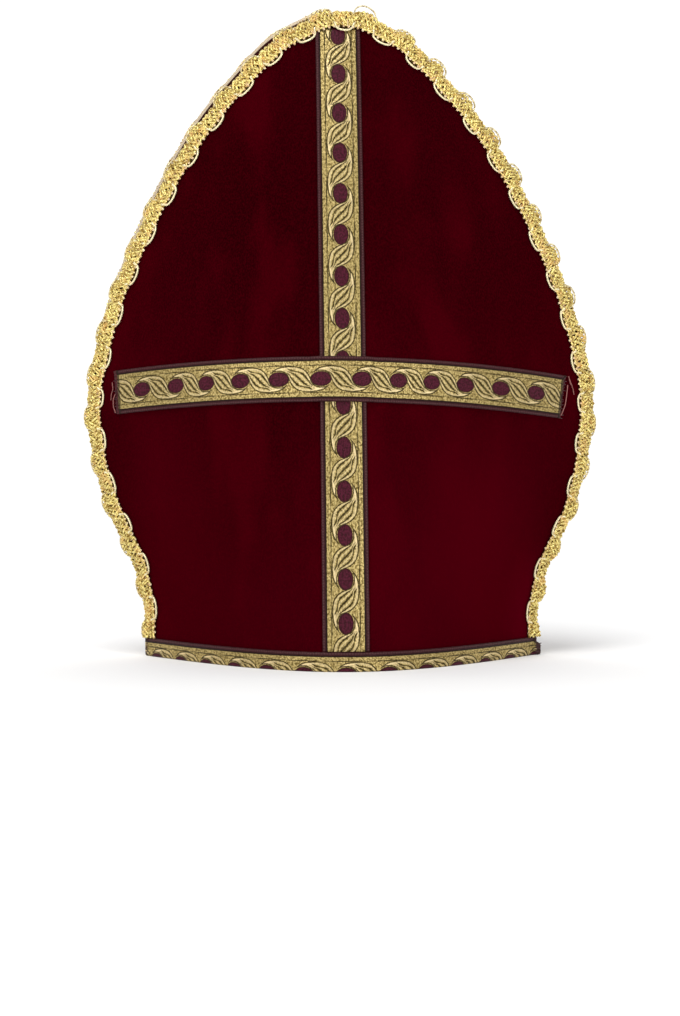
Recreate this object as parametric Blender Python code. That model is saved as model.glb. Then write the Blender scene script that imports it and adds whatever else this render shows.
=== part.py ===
"""A bishop's mitre, standing on its rim.

Two stiff panels of one pattern are bent round the head, meet at the side seams and lean together.
Above the seams their pointed edges stand apart, and a folded gusset closes the gap between them.
The frame is metres, +Z up, the rim on z = 0, the side seams in the plane y = 0 and the front at -Y.
"""

import bisect
import math

import bmesh
import bpy
from mathutils import Vector

MM = 0.001

# Panels: heights are measured straight up from the surface that the rim stands on
PEAK_HEIGHT = 363.5 * MM
HALF_WIDTH = 144.8 * MM
RIM_HALF_DEPTH = 91 * MM
PEAK_HALF_DEPTH = 29 * MM
SEAM_HEIGHT = 150 * MM
PANEL_THICKNESS = 3 * MM
BACK_RISE = 12 * MM
BACK_SHIFT = 5 * MM

# Trim: one woven ribbon is used three ways, and one braid edges each panel. The first outer
# scallop is this far right of the peak, and the braid hangs over fully from this share of the arch
RIBBON_WIDTH = 25 * MM
RIBBON_THICKNESS = 1 * MM
RIM_OUTER_FLAP = 10.5 * MM
RIM_FOLD_CHAMFER = 0.5 * MM
BRAID_WIDTH = 9 * MM
BRAID_OVERHANG = 2 * MM
BRAID_THICKNESS = 2.2 * MM
BRAID_REPEAT = 25.5 * MM
BRAID_SCALLOP = 2.3 * MM
FIRST_SCALLOP = 14 * MM
BRAID_FREE_RISE = 0.25

# The cross: its bar droops towards both ends and is sewn on a little askew
BAR_HEIGHT = 157 * MM
BAR_DROOP = 7 * MM
BAR_TILT = math.radians(-0.6)
BAR_LEFT_MARGIN = 13 * MM
BAR_RIGHT_MARGIN = 11.5 * MM
BAR_STEP_LENGTH = 6 * MM
UPRIGHT_BOTTOM_X = 0.5 * MM
UPRIGHT_TOP_X = -2.8 * MM
UPRIGHT_TOP_CLEARANCE = 1 * MM

# The gusset: a soft valley, in shares of the arch above the side seams. Its ends start where the
# seams leave it this much depth on either side
GUSSET_THICKNESS = 1.5 * MM
GUSSET_INSET = 2 * MM
GUSSET_END_DEPTH = 2.25 * MM
VALLEY_WIDTH_SHARE = 0.25
VALLEY_HEIGHT_SHARE = 0.38
VALLEY_SHARPNESS = 1.4

# Clearance between pieces that touch
GAP = 0.3 * MM

# The panel's edge, rim to peak: height is a share of PEAK_HEIGHT, half_width of HALF_WIDTH
EDGE_ROWS = (
    # height, half_width
    (0.000, 0.769),
    (0.083, 0.777),
    (0.152, 0.825),
    (0.234, 0.922),
    (0.331, 0.987),
    (0.413, 1.000),
    (0.510, 0.943),
    (0.620, 0.839),
    (0.730, 0.704),
    (0.826, 0.556),
    (0.909, 0.380),
    (0.967, 0.224),
    (1.000, 0.000),
)

# How the centre line leans back: an even share of the lean, and the rest with this power of height
EVEN_LEAN = 0.41
LEAN_POWER = 2.4

# How round a level section is at its middle: small is pointed, large is an even bow
RIM_ROUNDNESS = 0.8
UPPER_ROUNDNESS = 1.0

# Fineness of the faceted surfaces
EDGE_STEPS = 16
PANEL_COLUMNS = 20
PANEL_ROWS = 24
PANEL_BEND_RADIUS = 80 * MM
RIBBON_COLUMNS = 6
UPRIGHT_ROWS = 14
BAR_STATIONS = 24
BAR_COLUMNS = 3
BRAID_STEPS_PER_REPEAT = 8
GUSSET_ROWS = 28
GUSSET_COLUMNS = 6
MERGE_DISTANCE = 0.001 * MM
SHARP_ANGLE = math.radians(40)

# Steps by which slopes are measured: a length on a surface, and a share of the half width
PROBE = 0.4 * MM
SHARE_PROBE = 0.01
# The edge curves too tightly to be measured closer to the peak than this
PEAK_MARGIN = 2.4 * MM


def clear_scene():
    for item in list(bpy.data.objects):
        bpy.data.objects.remove(item, do_unlink=True)


def material(name, colour, roughness, metallic=0.0):
    made = bpy.data.materials.new(name)
    made.use_nodes = True
    shader = made.node_tree.nodes["Principled BSDF"]
    shader.inputs["Base Color"].default_value = (*colour, 1.0)
    shader.inputs["Roughness"].default_value = roughness
    shader.inputs["Metallic"].default_value = metallic
    return made


def smooth_curve(points, steps):
    """Points along a smooth curve through POINTS, whose first and last only steer its ends."""
    reach = [0.0]
    for here, after in zip(points, points[1:]):
        reach.append(reach[-1] + (after - here).length)
    made = []
    for i in range(1, len(points) - 2):
        span = reach[i + 1] - reach[i]
        leave = (points[i + 1] - points[i - 1]) * (span / (reach[i + 1] - reach[i - 1]))
        arrive = (points[i + 2] - points[i]) * (span / (reach[i + 2] - reach[i]))
        for step in range(steps):
            s = step / steps
            made.append(
                points[i] * (2 * s**3 - 3 * s**2 + 1)
                + leave * (s**3 - 2 * s**2 + s)
                + points[i + 1] * (3 * s**2 - 2 * s**3)
                + arrive * (s**3 - s**2)
            )
    made.append(points[-2])
    return made


def panel_edge():
    """The right edge from rim to peak, as close (half width, height) points."""
    rows = [Vector((width * HALF_WIDTH, height * PEAK_HEIGHT)) for height, width in EDGE_ROWS]
    below_rim = rows[0] * 2 - rows[1]
    across_peak = Vector((-rows[-2].x, rows[-2].y))
    return smooth_curve([below_rim, *rows, across_peak], EDGE_STEPS)


EDGE = panel_edge()
EDGE_HEIGHTS = [point.y for point in EDGE]


def half_width(z):
    """Half the panel's straight width at height z."""
    i = min(max(bisect.bisect_right(EDGE_HEIGHTS, z), 1), len(EDGE) - 1)
    below, above = EDGE[i - 1], EDGE[i]
    share = (z - below.y) / (above.y - below.y)
    return below.x + (above.x - below.x) * min(max(share, 0.0), 1.0)


def half_depth(z):
    """How far the panel's centre line stands from the seam plane."""
    rise = min(max(z / PEAK_HEIGHT, 0.0), 1.0)
    lean = EVEN_LEAN * rise + (1 - EVEN_LEAN) * rise**LEAN_POWER
    return RIM_HALF_DEPTH + (PEAK_HALF_DEPTH - RIM_HALF_DEPTH) * lean


def above_seam(z):
    """0 at the top of the side seams and below, 1 at the peak."""
    return max((z - SEAM_HEIGHT) / (PEAK_HEIGHT - SEAM_HEIGHT), 0.0)


def edge_depth(z):
    """How far the panel's edge stands from the seam plane."""
    return GAP / 2 + (PEAK_HALF_DEPTH - GAP / 2) * min(above_seam(z), 1.0)


def section_fall(t, z):
    """0 at the middle of a level section and 1 at its edge, where t is 1: a hyperbola."""
    blend = min(z / BAR_HEIGHT, 1.0)
    roundness = RIM_ROUNDNESS + (UPPER_ROUNDNESS - RIM_ROUNDNESS) * blend
    return (math.hypot(t, roundness) - roundness) / (math.hypot(1, roundness) - roundness)


def face_point(t, z):
    """A point of the front panel's outer face, at the share t of its half width."""
    middle, edge = half_depth(z), edge_depth(z)
    return Vector((t * half_width(z), -middle + (middle - edge) * section_fall(t, z), z))


def face_normal(t, z):
    """The way out of the front panel's face. It turns level towards the rim, which is cut level."""
    z_probed = min(max(z, PROBE), PEAK_HEIGHT - PEAK_MARGIN)
    up = face_point(t, z_probed + PROBE) - face_point(t, z_probed - PROBE)
    across = face_point(t + SHARE_PROBE, z_probed) - face_point(t - SHARE_PROBE, z_probed)
    normal = across.cross(up).normalized()
    normal.z *= min(z / RIM_OUTER_FLAP, 1.0)
    return normal.normalized()


def lifted(t, z, lift, to_seam=False):
    """A point LIFT outside the outer face, or inside it where LIFT is negative.

    It is slid along the face back to the seam plane where it would cross it and, with to_seam,
    also out to that plane.
    """
    normal = face_normal(t, z)
    point = face_point(t, z) + normal * lift
    beyond = point.y + GAP / 2
    if beyond > 0 or to_seam:
        side = math.copysign(1, t)
        inward = Vector((side * normal.y, -side * normal.x, 0)).normalized()
        point -= inward * (beyond / inward.y)
    return point


def on_face(x, z, lift):
    return lifted(x / half_width(z), z, lift)


def to_back(point):
    """The place on the back panel of a place on the front one."""
    rise = above_seam(point.z)
    return Vector((point.x - BACK_SHIFT * rise, -point.y, point.z + BACK_RISE * rise))


def column_shares():
    """Shares from -1 to 1 across a panel, closer where its sections bend most."""
    reach = math.asinh(1 / UPPER_ROUNDNESS)
    turns = [reach * (2 * i / PANEL_COLUMNS - 1) for i in range(PANEL_COLUMNS + 1)]
    return [UPPER_ROUNDNESS * math.sinh(turn) for turn in turns]


def edge_stations(count, low, high, bend_radius=0.0):
    """COUNT + 1 heights from low to high, evenly spaced along the panel's edge.

    With bend_radius they stand closer where the edge bends more tightly than that.
    """
    points = [Vector((half_width(low), low))]
    points += [p for p in EDGE if low + MERGE_DISTANCE < p.y < high - MERGE_DISTANCE]
    points.append(Vector((half_width(high), high)))
    reach = [0.0]
    way = points[1] - points[0]
    for here, after in zip(points, points[1:]):
        turn = way.angle(after - here)
        way = after - here
        reach.append(reach[-1] + way.length + bend_radius * turn)
    heights = []
    for i in range(count + 1):
        wanted = reach[-1] * i / count
        k = min(max(bisect.bisect_left(reach, wanted), 1), len(points) - 1)
        share = (wanted - reach[k - 1]) / (reach[k] - reach[k - 1])
        heights.append(points[k - 1].y + (points[k].y - points[k - 1].y) * share)
    return heights


def add_object(name, mesh_maker, finish):
    mesh = bpy.data.meshes.new(name)
    made = bmesh.new()
    mesh_maker(made)
    bmesh.ops.remove_doubles(made, verts=made.verts, dist=MERGE_DISTANCE)
    bmesh.ops.recalc_face_normals(made, faces=made.faces)
    made.to_mesh(mesh)
    made.free()
    mesh.shade_smooth()
    mesh.set_sharp_from_angle(angle=SHARP_ANGLE)
    mesh.materials.append(finish)
    item = bpy.data.objects.new(name, mesh)
    bpy.context.scene.collection.objects.link(item)
    return item


def add_grid(made, rows):
    """Faces between neighbouring points of ROWS, and the vertices as the same rows."""
    verts = [[made.verts.new(point) for point in row] for row in rows]
    for low, high in zip(verts, verts[1:]):
        for i in range(len(low) - 1):
            made.faces.new((low[i], low[i + 1], high[i + 1], high[i]))
    return verts


def add_slab(made, outer, inner):
    """A closed wall between two grids of points of the same size."""
    front, back = add_grid(made, outer), add_grid(made, inner)
    for a, b in ((front[0], back[0]), (front[-1], back[-1])):
        for i in range(len(a) - 1):
            made.faces.new((a[i], a[i + 1], b[i + 1], b[i]))
    for side in (0, -1):
        for j in range(len(front) - 1):
            made.faces.new((front[j][side], front[j + 1][side], back[j + 1][side], back[j][side]))


def add_loft(made, sections):
    """A closed bar through SECTIONS, each a ring of points, with flat ends."""
    rings = [[made.verts.new(point) for point in section] for section in sections]
    for here, after in zip(rings, rings[1:]):
        for i in range(len(here)):
            k = (i + 1) % len(here)
            made.faces.new((here[i], here[k], after[k], after[i]))
    made.faces.new(rings[0])
    made.faces.new(rings[-1])


def add_panel(name, place, finish):
    """One horn: a wall of even thickness, mitred where it meets the other panel."""
    bottom = RIBBON_THICKNESS + GAP
    heights = edge_stations(PANEL_ROWS, bottom, PEAK_HEIGHT, PANEL_BEND_RADIUS)

    def grid(lift):
        return [[place(lifted(t, z, lift)) for t in column_shares()] for z in heights]

    return add_object(name, lambda made: add_slab(made, grid(0), grid(-PANEL_THICKNESS)), finish)


def rim_profile():
    """(lift, height) round the folded ribbon, from the outer flap's top down, under and up inside."""
    outer = GAP + RIBBON_THICKNESS
    inner = -PANEL_THICKNESS - outer
    fold = RIM_FOLD_CHAMFER
    inner_flap = RIBBON_WIDTH - RIM_OUTER_FLAP - (outer - inner)
    return (
        (outer, RIM_OUTER_FLAP),
        (outer, fold),
        (outer - fold, 0.0),
        (inner + fold, 0.0),
        (inner, fold),
        (inner, inner_flap),
        (-PANEL_THICKNESS - GAP, inner_flap),
        (-PANEL_THICKNESS - GAP, RIBBON_THICKNESS),
        (GAP, RIBBON_THICKNESS),
        (GAP, RIM_OUTER_FLAP),
    )


def add_rim_ribbon(name, place, finish):
    """The ribbon folded round a panel's bottom edge, from side seam to side seam."""
    shares = column_shares()

    def sections(made):
        add_loft(
            made,
            [
                [
                    place(lifted(t, z, lift, to_seam=t in (shares[0], shares[-1])))
                    for lift, z in rim_profile()
                ]
                for t in shares
            ],
        )

    return add_object(name, sections, finish)


def upright_x(z):
    return UPRIGHT_BOTTOM_X + (UPRIGHT_TOP_X - UPRIGHT_BOTTOM_X) * z / PEAK_HEIGHT


def upright_top():
    """The height at which the upright's outer corner meets the braid under the peak."""
    corner = RIBBON_WIDTH / 2 + abs(UPRIGHT_TOP_X)
    above_corner = min(point.y for point in EDGE if point.x < corner and point.y > SEAM_HEIGHT)
    return above_corner - braid_reach() - UPRIGHT_TOP_CLEARANCE


def add_upright(name, place, finish):
    """The upright, from the rim ribbon to the braid at the peak."""
    bottom = RIM_OUTER_FLAP + GAP
    top = upright_top()
    heights = [bottom + (top - bottom) * j / UPRIGHT_ROWS for j in range(UPRIGHT_ROWS + 1)]
    offsets = [RIBBON_WIDTH * (i / RIBBON_COLUMNS - 0.5) for i in range(RIBBON_COLUMNS + 1)]

    def grid(lift):
        return [[place(on_face(upright_x(z) + x, z, lift)) for x in offsets] for z in heights]

    return add_object(
        name, lambda made: add_slab(made, grid(GAP + RIBBON_THICKNESS), grid(GAP)), finish
    )


def braid_reach():
    """How far in from the panel's edge the braid's inner scallops come."""
    return BRAID_WIDTH - BRAID_OVERHANG + BRAID_SCALLOP


def edge_frame(z, side):
    """The edge point at height z, the way inward along the face, and the normal there."""
    point = face_point(side, z)
    normal = face_normal(side, z)
    low, high = max(z - PROBE, 0.0), min(z + PROBE, PEAK_HEIGHT)
    along = (face_point(side, high) - face_point(side, low)).normalized()
    inward = normal.cross(along) * side
    return point, inward.normalized(), normal


def in_from_edge(z, side, distance):
    """The place on the outer face that lies DISTANCE in from the edge point at height z."""
    point, inward, _ = edge_frame(z, side)
    return point + inward * distance


def bar_ends():
    """x of the bar's left and right ends, a margin short of the braid."""
    level = BAR_HEIGHT - BAR_DROOP
    left = in_from_edge(level, -1, braid_reach() + BAR_LEFT_MARGIN).x
    right = in_from_edge(level, 1, braid_reach() + BAR_RIGHT_MARGIN).x
    return left, right


def bar_lift(x):
    """How far the bar's underside stands off the velvet: it steps up over the upright."""
    flat = RIBBON_WIDTH / 2 + GAP
    away = abs(x - upright_x(BAR_HEIGHT))
    step = min(max((away - flat) / BAR_STEP_LENGTH, 0.0), 1.0)
    return GAP + (RIBBON_THICKNESS + GAP) * (1 - step)


def add_bar(name, place, finish):
    """The cross bar, bent round the panel and over the upright."""
    left, right = bar_ends()
    upright = upright_x(BAR_HEIGHT)
    stations = {left + (right - left) * i / BAR_STATIONS for i in range(BAR_STATIONS + 1)}
    flat = RIBBON_WIDTH / 2 + GAP
    for side in (-1, 1):
        stations |= {upright + side * flat, upright + side * (flat + BAR_STEP_LENGTH)}
    stations = sorted(stations)
    offsets = [RIBBON_WIDTH * (i / BAR_COLUMNS - 0.5) for i in range(BAR_COLUMNS + 1)]
    reach = (right - left) / 2

    def height(x, offset):
        middle = BAR_HEIGHT - BAR_DROOP * (x / reach) ** 2 + x * math.tan(BAR_TILT)
        slope = on_face(x, middle + PROBE, 0).y - on_face(x, middle - PROBE, 0).y
        return middle + offset / math.hypot(1, slope / (2 * PROBE))

    def grid(extra):
        return [
            [place(on_face(x, height(x, offset), bar_lift(x) + extra)) for offset in offsets]
            for x in stations
        ]

    return add_object(name, lambda made: add_slab(made, grid(RIBBON_THICKNESS), grid(0)), finish)


def braid_stations():
    """(height, side, distance right of the peak) along one panel's edge, from left to right."""
    bottom = RIM_OUTER_FLAP + GAP
    points = [point for point in EDGE if point.y > bottom]
    length = sum((after - here).length for here, after in zip(points, points[1:]))
    steps = round(length / BRAID_REPEAT * BRAID_STEPS_PER_REPEAT)
    heights = edge_stations(steps, bottom, PEAK_HEIGHT)
    half = [(z, length * (1 - i / steps)) for i, z in enumerate(heights)]
    left = [(z, -1, -distance) for z, distance in half]
    right = [(z, 1, distance) for z, distance in reversed(half[:-1])]
    return left + right


def add_braid(name, place, finish):
    """A flat band along the edge, scalloped on both sides in turn, hanging over where it is free."""

    def section(z, side, distance):
        point, inward, normal = edge_frame(z, side)
        wave = math.cos(2 * math.pi * (distance - FIRST_SCALLOP) / BRAID_REPEAT)
        free = min(above_seam(z) / BRAID_FREE_RISE, 1.0)
        outer = point - inward * (BRAID_OVERHANG + BRAID_SCALLOP * max(wave, 0.0)) * free
        inner = point + inward * (braid_reach() - BRAID_SCALLOP * min(wave + 1, 1.0))
        low, high = GAP, GAP + BRAID_THICKNESS
        return [
            outer + normal * low,
            on_face(inner.x, inner.z, low),
            on_face(inner.x, inner.z, high),
            outer + normal * high,
        ]

    def sections(made):
        add_loft(made, [[place(p) for p in section(*station)] for station in braid_stations()])

    return add_object(name, sections, finish)


def gusset_seam(z, side):
    """The middle of the gusset's cloth where it is sewn inside the front panel's edge."""
    point, inward, normal = edge_frame(z, side)
    return point + inward * GUSSET_INSET - normal * (PANEL_THICKNESS + GAP + GUSSET_THICKNESS / 2)


def add_gusset(name, finish):
    """The cloth between the horns, sewn inside both edges and folded down into a valley."""
    low = SEAM_HEIGHT
    while -gusset_seam(low, 1).y < GUSSET_END_DEPTH:
        low += MM
    heights = edge_stations(GUSSET_ROWS // 2, low, PEAK_HEIGHT)
    stations = [(z, -1) for z in heights] + [(z, 1) for z in reversed(heights[:-1])]
    widest = -gusset_seam(PEAK_HEIGHT, 1).y
    base = Vector((0, 0, gusset_seam(low, 1).z))

    def row(z, side):
        front = gusset_seam(z, side)
        back = to_back(front)
        middle = (front + back) / 2
        open_share = -front.y / widest
        valley = Vector((
            middle.x * (1 - VALLEY_WIDTH_SHARE * open_share),
            middle.y,
            base.z + (middle.z - base.z) * (1 - VALLEY_HEIGHT_SHARE * open_share),
        ))
        points = []
        for i in range(GUSSET_COLUMNS + 1):
            q = 2 * i / GUSSET_COLUMNS - 1
            sewn = back if q > 0 else front
            point = valley.lerp(sewn, abs(q) ** VALLEY_SHARPNESS)
            point.y = valley.y + (sewn.y - valley.y) * abs(q)
            points.append(point)
        return points

    item = add_object(name, lambda made: add_grid(made, [row(*s) for s in stations]), finish)
    solid = item.modifiers.new("thickness", "SOLIDIFY")
    solid.thickness = GUSSET_THICKNESS
    solid.offset = 0
    return item


def main():
    clear_scene()
    velvet = material("wine_velvet", (0.055, 0.001, 0.003), 0.9)
    lining = material("red_lining", (0.10, 0.004, 0.008), 0.75)
    ribbon = material("guilloche_ribbon", (0.42, 0.28, 0.13), 0.45, 0.5)
    braid = material("gold_braid", (0.72, 0.49, 0.12), 0.35, 0.8)
    for side, place in (("front", lambda point: point), ("back", to_back)):
        add_panel(f"{side}_panel", place, velvet)
        add_rim_ribbon(f"{side}_rim_ribbon", place, ribbon)
        add_upright(f"{side}_upright_ribbon", place, ribbon)
        add_bar(f"{side}_cross_ribbon", place, ribbon)
        add_braid(f"{side}_braid", place, braid)
    add_gusset("gusset", lining)


main()
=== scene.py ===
"""The looks of a bishop's mitre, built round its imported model.

Every piece of cloth, ribbon and braid is made again here in fine detail, on the same surface as
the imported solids, and stands for one of them. Lengths are metres; +Z is up, the rim stands on z = 0
and the front is at -Y. The cloth coordinates that materials read are in millimetres.
"""

import math

import bpy
import numpy as np
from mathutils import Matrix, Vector


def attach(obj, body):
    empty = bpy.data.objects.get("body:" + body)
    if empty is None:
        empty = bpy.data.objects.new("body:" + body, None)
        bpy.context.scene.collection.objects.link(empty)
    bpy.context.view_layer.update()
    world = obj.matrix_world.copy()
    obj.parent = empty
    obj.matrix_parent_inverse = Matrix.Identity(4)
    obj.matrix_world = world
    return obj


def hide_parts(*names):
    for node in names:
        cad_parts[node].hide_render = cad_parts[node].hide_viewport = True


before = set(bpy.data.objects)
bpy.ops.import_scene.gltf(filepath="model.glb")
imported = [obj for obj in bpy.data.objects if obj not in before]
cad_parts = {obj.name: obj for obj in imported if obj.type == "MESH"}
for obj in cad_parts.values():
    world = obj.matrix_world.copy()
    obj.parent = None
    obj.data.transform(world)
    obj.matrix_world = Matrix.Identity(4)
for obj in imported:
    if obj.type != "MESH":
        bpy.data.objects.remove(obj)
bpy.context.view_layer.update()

MM = 0.001

# The panels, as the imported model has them
PEAK_HEIGHT = 363.5 * MM
HALF_WIDTH = 144.8 * MM
RIM_HALF_DEPTH = 91 * MM
PEAK_HALF_DEPTH = 29 * MM
SEAM_HEIGHT = 150 * MM
PANEL_THICKNESS = 3 * MM
BACK_RISE = 12 * MM
BACK_SHIFT = 5 * MM
GAP = 0.3 * MM
EVEN_LEAN = 0.41
LEAN_POWER = 2.4
RIM_ROUNDNESS = 0.8
UPPER_ROUNDNESS = 1.0
EDGE_ROWS = (
    # height, half_width
    (0.000, 0.769),
    (0.083, 0.777),
    (0.152, 0.825),
    (0.234, 0.922),
    (0.331, 0.987),
    (0.413, 1.000),
    (0.510, 0.943),
    (0.620, 0.839),
    (0.730, 0.704),
    (0.826, 0.556),
    (0.909, 0.380),
    (0.967, 0.224),
    (1.000, 0.000),
)

# The ribbon and where it runs
RIBBON_WIDTH = 25 * MM
RIBBON_THICKNESS = 1 * MM
RIM_OUTER_FLAP = 10.5 * MM
BAR_HEIGHT = 157 * MM
BAR_DROOP = 7 * MM
BAR_TILT = math.radians(-0.6)
BAR_LEFT_MARGIN = 13 * MM
BAR_RIGHT_MARGIN = 11.5 * MM
BAR_STEP_LENGTH = 6 * MM
UPRIGHT_TOP_MARGIN = 8 * MM
UPRIGHT_BOTTOM_X = 0.5 * MM
UPRIGHT_TOP_X = -2.8 * MM

# The braid
BRAID_WIDTH = 9 * MM
BRAID_OVERHANG = 2 * MM
BRAID_REPEAT = 25.5 * MM
BRAID_SCALLOP = 2.3 * MM
FIRST_SCALLOP = 14 * MM
BRAID_FREE_RISE = 0.25

# The gusset. Its cloth starts where the horns leave the seam this deep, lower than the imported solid
GUSSET_END_DEPTH = 0.9 * MM
GUSSET_THICKNESS = 1.5 * MM
GUSSET_INSET = 2 * MM
VALLEY_WIDTH_SHARE = 0.25
VALLEY_HEIGHT_SHARE = 0.38
VALLEY_SHARPNESS = 1.4

# Steps of the meshes, and the steps by which slopes are measured
EDGE_STEPS = 24
PANEL_ROW = 2.5 * MM
PANEL_COLUMNS = 97
RIBBON_COLUMNS = 27
UPRIGHT_ROWS = 220
BAR_ROWS = 260
RIM_ROWS = 221
GUSSET_ROW = 4 * MM
GUSSET_COLUMNS = 33
PROBE = 0.4 * MM
SHARE_PROBE = 0.01
PEAK_MARGIN = 2.4 * MM
THINNEST = 0.1 * MM

# The ribbon's weave, in millimetres of cloth
PATTERN_REPEAT = 23.0
PATTERN_REACH = 7.1
DOT_HALF_LENGTH = 6.1
DOT_HALF_HEIGHT = 4.3
GOLD_HALF_WIDTH = 9.6
CUT_STITCH = 2.6
UNCUT = 50.0


def arc_length(points):
    """The way covered at each point of a path."""
    return np.r_[0, np.cumsum(np.linalg.norm(np.diff(points, axis=0), axis=1))]


def read_table(rows, at):
    """The columns of a table after its first one, read between its rows at AT."""
    first, *others = np.array(rows).T
    return [np.interp(at, first, column) for column in others]


def smooth_curve(points, steps):
    """Points along a smooth curve through POINTS, whose first and last only steer its ends."""
    reach = arc_length(points)
    s = np.arange(steps)[:, None] / steps
    made = []
    for i in range(1, len(points) - 2):
        span = reach[i + 1] - reach[i]
        leave = (points[i + 1] - points[i - 1]) * span / (reach[i + 1] - reach[i - 1])
        arrive = (points[i + 2] - points[i]) * span / (reach[i + 2] - reach[i])
        made.append(
            points[i] * (2 * s**3 - 3 * s**2 + 1)
            + leave * (s**3 - 2 * s**2 + s)
            + points[i + 1] * (3 * s**2 - 2 * s**3)
            + arrive * (s**3 - s**2)
        )
    return np.vstack([*made, points[-2:-1]])


def panel_edge():
    """The right edge from rim to peak, as close (half width, height) points."""
    rows = np.array(EDGE_ROWS)[:, ::-1] * (HALF_WIDTH, PEAK_HEIGHT)
    return smooth_curve(
        np.vstack([2 * rows[0] - rows[1], rows, rows[-2] * (-1, 1)]), EDGE_STEPS
    )


EDGE = panel_edge()


def half_width(z):
    return np.interp(z, EDGE[:, 1], EDGE[:, 0])


def half_depth(z):
    rise = np.clip(z / PEAK_HEIGHT, 0, 1)
    lean = EVEN_LEAN * rise + (1 - EVEN_LEAN) * rise**LEAN_POWER
    return RIM_HALF_DEPTH + (PEAK_HALF_DEPTH - RIM_HALF_DEPTH) * lean


def above_seam(z):
    return np.maximum((z - SEAM_HEIGHT) / (PEAK_HEIGHT - SEAM_HEIGHT), 0)


def edge_depth(z):
    return GAP / 2 + (PEAK_HALF_DEPTH - GAP / 2) * np.minimum(above_seam(z), 1)


def section_fall(t, z):
    blend = np.minimum(z / BAR_HEIGHT, 1)
    roundness = RIM_ROUNDNESS + (UPPER_ROUNDNESS - RIM_ROUNDNESS) * blend
    return (np.hypot(t, roundness) - roundness) / (np.hypot(1, roundness) - roundness)


def face(t, z):
    """Points of the front panel's outer face, at the shares t of its half width."""
    t, z = np.broadcast_arrays(t, z)
    middle, edge = half_depth(z), edge_depth(z)
    return np.stack(
        [t * half_width(z), -middle + (middle - edge) * section_fall(t, z), z], -1
    )


def unit(vectors):
    return vectors / np.linalg.norm(vectors, axis=-1, keepdims=True)


def face_normal(t, z):
    """The way out of the face. It turns level towards the rim, which is cut level."""
    t, z = np.broadcast_arrays(t, z)
    probed = np.clip(z, PROBE, PEAK_HEIGHT - PEAK_MARGIN)
    up = face(t, probed + PROBE) - face(t, probed - PROBE)
    across = face(t + SHARE_PROBE, probed) - face(t - SHARE_PROBE, probed)
    normal = unit(np.cross(across, up))
    normal[..., 2] *= np.clip(z / RIM_OUTER_FLAP, 0, 1)
    return unit(normal)


def lifted(t, z, lift, to_seam=False):
    """Points LIFT outside the face, slid back along it where they would cross the seam plane."""
    t, z, lift = np.broadcast_arrays(t, z, lift)
    normal = face_normal(t, z)
    points = face(t, z) + normal * lift[..., None]
    beyond = points[..., 1] + GAP / 2
    slide = (beyond > 0) | np.broadcast_to(to_seam, beyond.shape)
    side = np.where(t < 0, -1.0, 1.0)
    inward = unit(np.stack([side * normal[..., 1], -side * normal[..., 0], 0 * side], -1))
    steep = np.where(np.abs(inward[..., 1]) < 0.05, 1, inward[..., 1])
    return points - np.where(slide, beyond / steep, 0)[..., None] * inward


def on_face(x, z, lift):
    return lifted(x / np.maximum(half_width(z), THINNEST), z, lift)


def keep_front(points):
    return points


def to_back(points):
    """The places on the back panel of places on the front one."""
    rise = above_seam(points[..., 2])
    return np.stack(
        [points[..., 0] - BACK_SHIFT * rise, -points[..., 1], points[..., 2] + BACK_RISE * rise],
        -1,
    )


PLACES = (("front", keep_front), ("back", to_back))


def edge_frame(z, side):
    """The edge points at heights z, the way inward along the face, and the normals there."""
    normal = face_normal(side, z)
    low, high = np.maximum(z - PROBE, 0), np.minimum(z + PROBE, PEAK_HEIGHT)
    along = unit(face(side, high) - face(side, low))
    inward = np.cross(normal, along) * np.broadcast_to(side, z.shape)[..., None]
    return face(side, z), unit(inward), normal


def spaced(low, high, step):
    """Heights from low to high, STEP apart along the panel's edge."""
    z = np.linspace(low, high, 2000)
    reach = arc_length(np.stack([half_width(z), z], -1))
    return np.interp(np.linspace(0, reach[-1], round(reach[-1] / step) + 1), reach, z)


def grid_faces(rows, columns, closed):
    """Faces of a grid counted row by row. A closed one joins its last column to its first."""
    index = np.arange(rows * columns).reshape(rows, columns)
    if closed:
        index = np.hstack([index, index[:, :1]])
    corners = [index[:-1, :-1], index[:-1, 1:], index[1:, 1:], index[1:, :-1]]
    return np.stack(corners, -1).reshape(-1, 4)


def add_object(name, data):
    made = bpy.data.objects.new(name, data)
    bpy.context.scene.collection.objects.link(made)
    return made


def add_piece(name, points, faces, finish, cloth=None, stands_for=None, caps=()):
    """A mesh piece that rides on the part. CLOTH gives each point's place in the cloth."""
    points = np.asarray(points).reshape(-1, 3)
    corners = np.concatenate([faces.ravel(), *caps])
    cap_starts = [faces.size + len(caps[0]) * k for k in range(len(caps))]
    starts = np.r_[np.arange(0, faces.size, faces.shape[1]), cap_starts]
    mesh = bpy.data.meshes.new(name)
    mesh.vertices.add(len(points))
    mesh.vertices.foreach_set("co", np.asarray(points, np.float32).ravel())
    mesh.loops.add(len(corners))
    mesh.loops.foreach_set("vertex_index", corners.astype(np.int32))
    mesh.polygons.add(len(starts))
    mesh.polygons.foreach_set("loop_start", starts.astype(np.int32))
    mesh.update(calc_edges=True)
    mesh.validate()
    mesh.polygons.foreach_set("use_smooth", np.arange(len(mesh.polygons)) < len(faces))
    mesh.materials.append(finish)
    if cloth is not None:
        made = mesh.attributes.new("cloth", "FLOAT_VECTOR", "POINT")
        made.data.foreach_set("vector", np.array(cloth, np.float32).ravel())
    piece = add_object(name, mesh)
    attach(piece, "root")
    if stands_for:
        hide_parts(stands_for)
    return piece


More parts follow.
